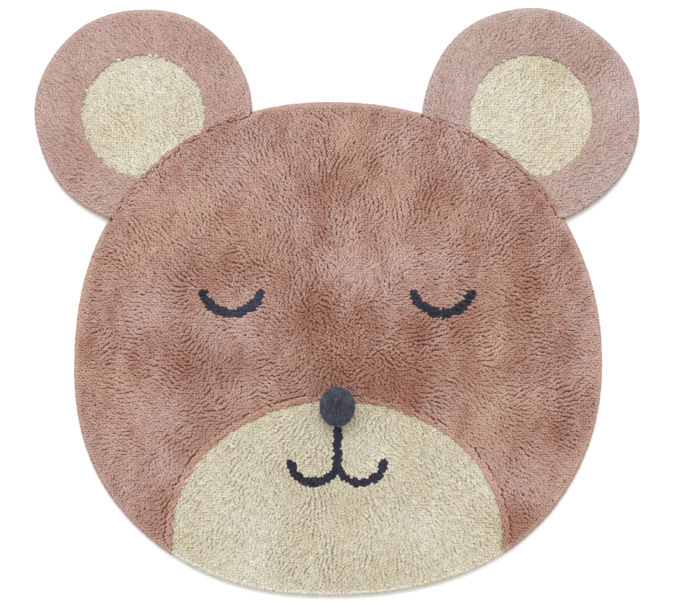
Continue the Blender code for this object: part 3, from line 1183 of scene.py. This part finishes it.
def pompom():
    """The cut locks of wool, and the heart that they are tied into, coloured dark as painted
    shade inside the ball.
    """
    low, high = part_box("nose_pompom")
    middle = (low + high) / 2
    middle.z = low.z + NOSE_MIDDLE_AT * (high.z - low.z)
    reach = np.array([(high.x - low.x) / 2, (high.y - low.y) / 2, high.z - middle.z])
    way = unit(chance.normal(0, 1, (NOSE_LOCKS, 3)))
    clump = drift(way[:, :2] * NOSE_CLUMP_RADIUS, "nose_top")
    clump += drift(way[:, 1:] * NOSE_CLUMP_RADIUS, "nose_side")
    uneven = NOSE_CLIPPED + NOSE_CLUMP_RELIEF * clump
    uneven += chance.normal(0, NOSE_STRAY_LOCKS, NOSE_LOCKS)
    uneven = np.minimum(uneven, NOSE_LONGEST_LOCK)
    tip = way * reach * uneven[:, None] + np.array(middle)
    lowest = low.z + NOSE_TIPS_OFF_PILE + chance.uniform(0, NOSE_TIPS_UNEVEN, NOSE_LOCKS)
    tip[:, 2] = np.maximum(tip[:, 2], lowest)
    root = tip - way * NOSE_LOCK_LENGTH * np.array([1, 1, NOSE_ROOTS_LIFT])
    root[:, 2] = np.maximum(root[:, 2], low.z + NOSE_ROOTS_OFF_PILE)
    sway = chance.normal(0, NOSE_LOCK_SWAY, root.shape)
    tufts = {
        "root": root,
        "bend": (root + tip) / 2 + sway,
        "tip": tip,
        "width": NOSE_LOCK_WIDTH * chance.uniform(0.8, 1.2, NOSE_LOCKS),
        "flat": np.ones(NOSE_LOCKS),
        "spin": chance.uniform(0, 2 * math.pi, NOSE_LOCKS),
        "tone": chance.uniform(0, 1, NOSE_LOCKS),
    }
    # Painted light and shade: locks high on the ball and in standing clumps are painted paler,
    # those low down darker; each lock also varies at random.
    nap = NOSE_CLUMP_SHADE * clump + NOSE_TOP_SHADE * (way[:, 2] - NOSE_SHADED_BELOW)
    tufts["nap"] = nap + chance.normal(0, NOSE_LOCK_SHADE, NOSE_LOCKS)
    wool = yarn_material(
        "wool_charcoal",
        root_shade_colour=(0.026, 0.026, 0.037, 1.0),
        colour=(0.086, 0.087, 0.121, 1.0),
        lit_colour=(0.166, 0.168, 0.220, 1.0),
        faded_colour=(0.150, 0.157, 0.197, 1.0),
        sheen=0.20,
        fibre_scale=NOSE_FIBRE_SCALE,
    )
    blunt = tuft_shape(NOSE_LOCK_SIDES, NOSE_LOCK_BLUNTNESS)
    locks = joined_tufts("nose_pompom_locks", blunt, tufts, wool)
    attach(locks, "root")

    bm = bmesh.new()
    bmesh.ops.create_icosphere(bm, subdivisions=4, radius=1.0)
    bmesh.ops.scale(bm, vec=[NOSE_HEART_SHARE * part for part in reach], verts=bm.verts)
    bmesh.ops.translate(bm, vec=middle, verts=bm.verts)
    for vert in bm.verts:
        vert.co.z = max(vert.co.z, low.z + NOSE_HEART_OFF_PILE)
    mesh = bpy.data.meshes.new("nose_pompom_heart")
    bm.to_mesh(mesh)
    bm.free()
    mesh.shade_smooth()
    # Painted shade: the heart is coloured darker than the wool, for the shade inside the ball.
    mesh.materials.append(roots_material("wool_heart", (0.030, 0.030, 0.042, 1.0)))
    heart = new_object("nose_pompom_heart", mesh)
    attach(heart, "root")
    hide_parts("nose_pompom")
    return [locks, heart]


nose_pieces = pompom()

low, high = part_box("rug")


# ---------------------------------------------------------------------------
# The room: a plain pale floor, a wide soft light and a camera straight above,
# as far off as a photographer on a ladder would stand.

FRAME_WIDTH_PX = 680
FRAME_HEIGHT_PX = 611
RUG_MIDDLE_PX = (337.0, 302.0)
RUG_WIDTH_PX = 607.0
CAMERA_LENS = 85.0
CAMERA_SENSOR = 36.0
PILE_TOP = 0.016
FLOOR_REACH = 8.0
FLOOR_COLOUR = (0.96, 0.96, 0.96, 1.0)
FLOOR_ROUGHNESS = 0.9
WALL_LIGHT = {"From Min": 0.20, "From Max": 0.55, "To Min": 1.08, "To Max": 0.74}
WINDOW_LIGHT = 1.96
WINDOW_SPREAD = math.radians(40)
WINDOW_TILT = (math.radians(-38), math.radians(-3), 0)

floor_mesh = bpy.data.meshes.new("floor")
bm = bmesh.new()
bmesh.ops.create_grid(bm, x_segments=1, y_segments=1, size=FLOOR_REACH)
bm.to_mesh(floor_mesh)
bm.free()
floor = new_object("floor", floor_mesh)
floor_material = bpy.data.materials.new("plain_floor")
floor_material.use_nodes = True
floor_shader = floor_material.node_tree.nodes["Principled BSDF"]
floor_shader.inputs["Base Color"].default_value = FLOOR_COLOUR
floor_shader.inputs["Roughness"].default_value = FLOOR_ROUGHNESS
floor_mesh.materials.append(floor_material)

world = bpy.data.worlds.new("studio")
world.use_nodes = True
sky = world.node_tree
direction = sky.nodes.new("ShaderNodeTexCoord")
height = sky.nodes.new("ShaderNodeSeparateXYZ")
walls = sky.nodes.new("ShaderNodeMapRange")
for limit, value in WALL_LIGHT.items():
    walls.inputs[limit].default_value = value
sky.links.new(direction.outputs["Generated"], height.inputs["Vector"])
sky.links.new(height.outputs["Z"], walls.inputs["Value"])
sky.links.new(walls.outputs["Result"], sky.nodes["Background"].inputs["Strength"])
sky.nodes["Background"].inputs["Color"].default_value = (1.0, 1.0, 1.0, 1.0)
bpy.context.scene.world = world

lamp = bpy.data.lights.new("high_window", "SUN")
lamp.angle = WINDOW_SPREAD
lamp.energy = WINDOW_LIGHT
window = new_object("high_window", lamp)
window.rotation_euler = WINDOW_TILT

metres_per_px = (high.x - low.x) / RUG_WIDTH_PX
seen_width = metres_per_px * FRAME_WIDTH_PX
camera_data = bpy.data.cameras.new("camera")
camera_data.lens = CAMERA_LENS
camera_data.sensor_width = CAMERA_SENSOR
camera = new_object("camera", camera_data)
camera.location = (
    (high.x + low.x) / 2 + (FRAME_WIDTH_PX / 2 - RUG_MIDDLE_PX[0]) * metres_per_px,
    (high.y + low.y) / 2 - (FRAME_HEIGHT_PX / 2 - RUG_MIDDLE_PX[1]) * metres_per_px,
    PILE_TOP + seen_width * CAMERA_LENS / CAMERA_SENSOR,
)
bpy.context.scene.camera = camera
bpy.context.scene.view_settings.view_transform = "Standard"
bpy.context.scene.view_settings.look = "None"
